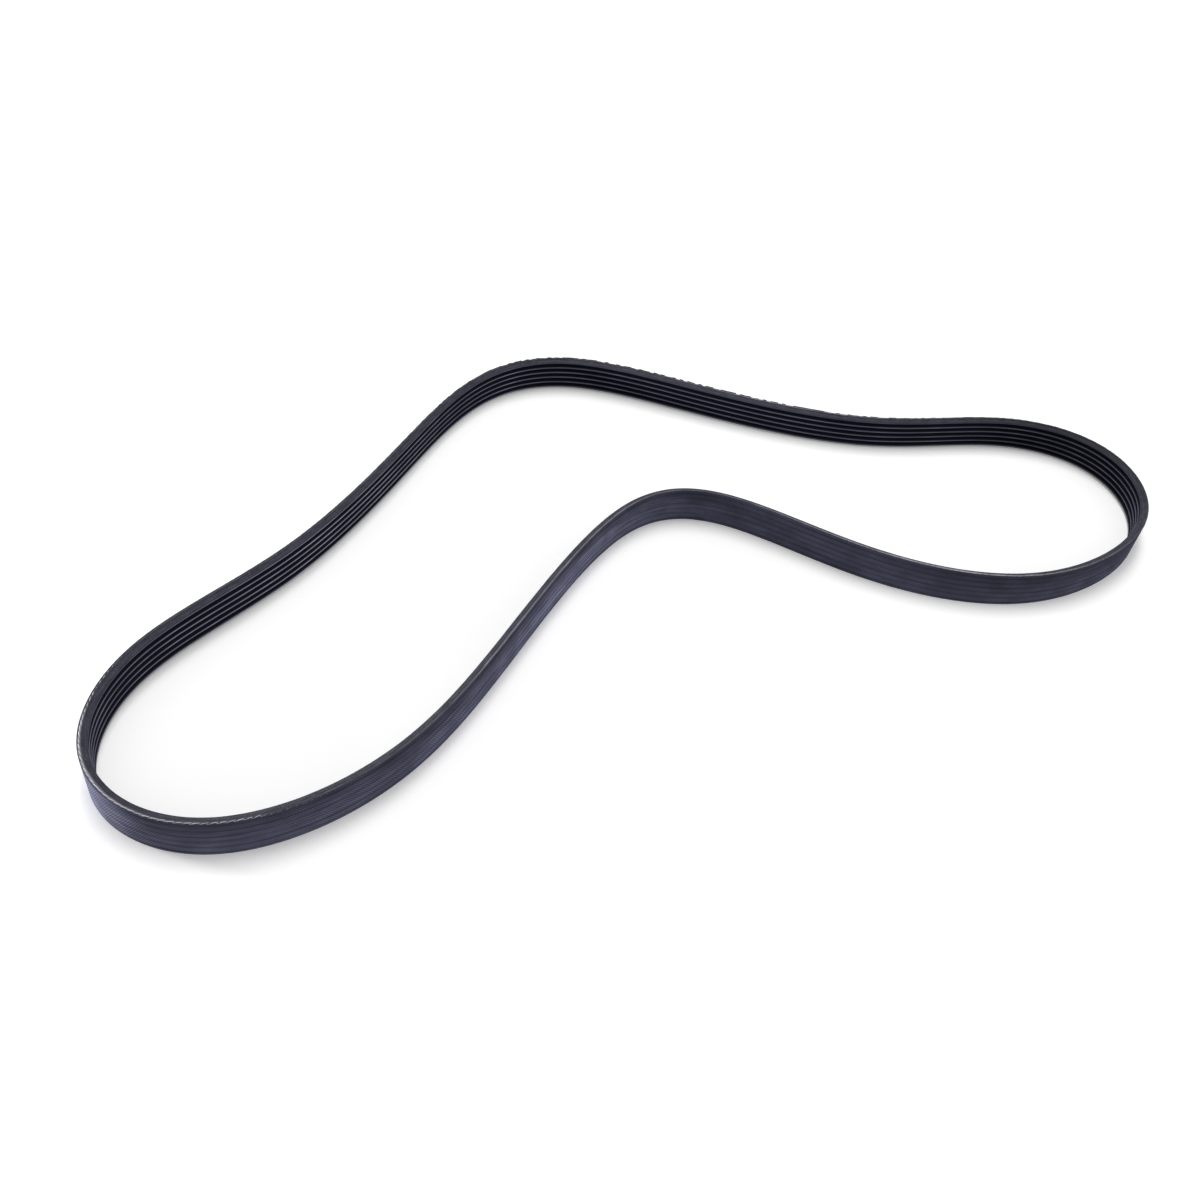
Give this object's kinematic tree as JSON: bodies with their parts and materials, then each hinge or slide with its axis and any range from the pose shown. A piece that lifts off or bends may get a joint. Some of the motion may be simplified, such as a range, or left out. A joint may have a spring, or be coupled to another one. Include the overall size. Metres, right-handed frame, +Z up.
{
  "type": "serpentine belt",
  "caption": "Closed multi-rib rubber drive belt, standing on its cut edge in a bent loop, with ribs on the inside and a smooth fabric back outside.",
  "frame": {"origin": "on the floor plane of the lower cut edge, under the middle of the loop's box", "axes": "+X along the loop's longest extent, +Z up across the belt's width"},
  "size_m": [0.55, 0.4158, 0.0214],
  "materials": {
    "belt_rubber": "satin black-blue rubber with a fine fabric back"
  },
  "bodies": {
    "root": {"ribbed_belt": "belt_rubber"}
  },
  "joints": []
}
